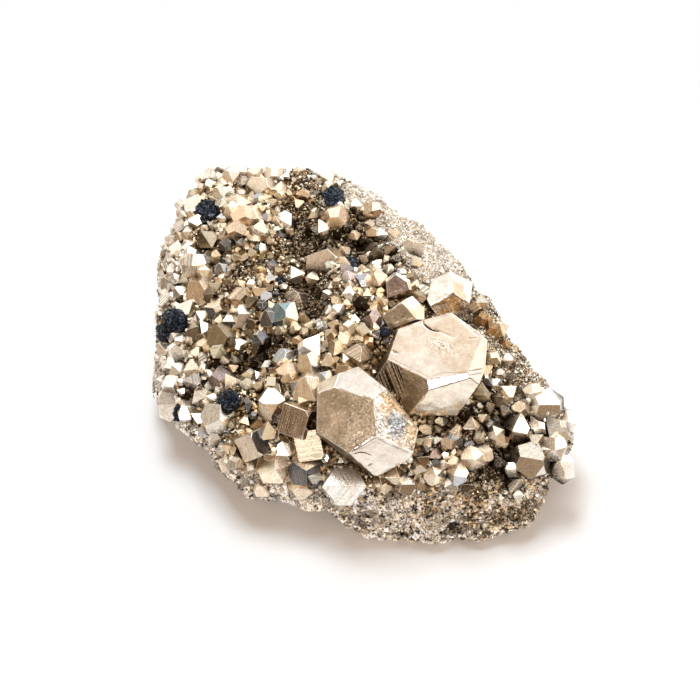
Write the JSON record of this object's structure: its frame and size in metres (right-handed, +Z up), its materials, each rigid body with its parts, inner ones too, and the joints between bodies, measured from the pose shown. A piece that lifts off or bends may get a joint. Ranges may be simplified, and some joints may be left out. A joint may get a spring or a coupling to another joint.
{
  "type": "pyrite specimen",
  "caption": "Free-standing lump of pyrite rock overgrown with flat-faced metallic crystals, some large and many small, for display.",
  "frame": {"origin": "centre of the bounding box in plan, at the level of the flat underside", "axes": "+Z up from the flat underside, +X along the longest extent, +Y towards the back"},
  "size_m": [0.1103, 0.1016, 0.048],
  "materials": {
    "pyrite": "pale brassy metallic crystals with blue and brown tarnish, on sparkling granular rock"
  },
  "bodies": {
    "root": {"pyrite_cluster": "pyrite"}
  },
  "joints": []
}
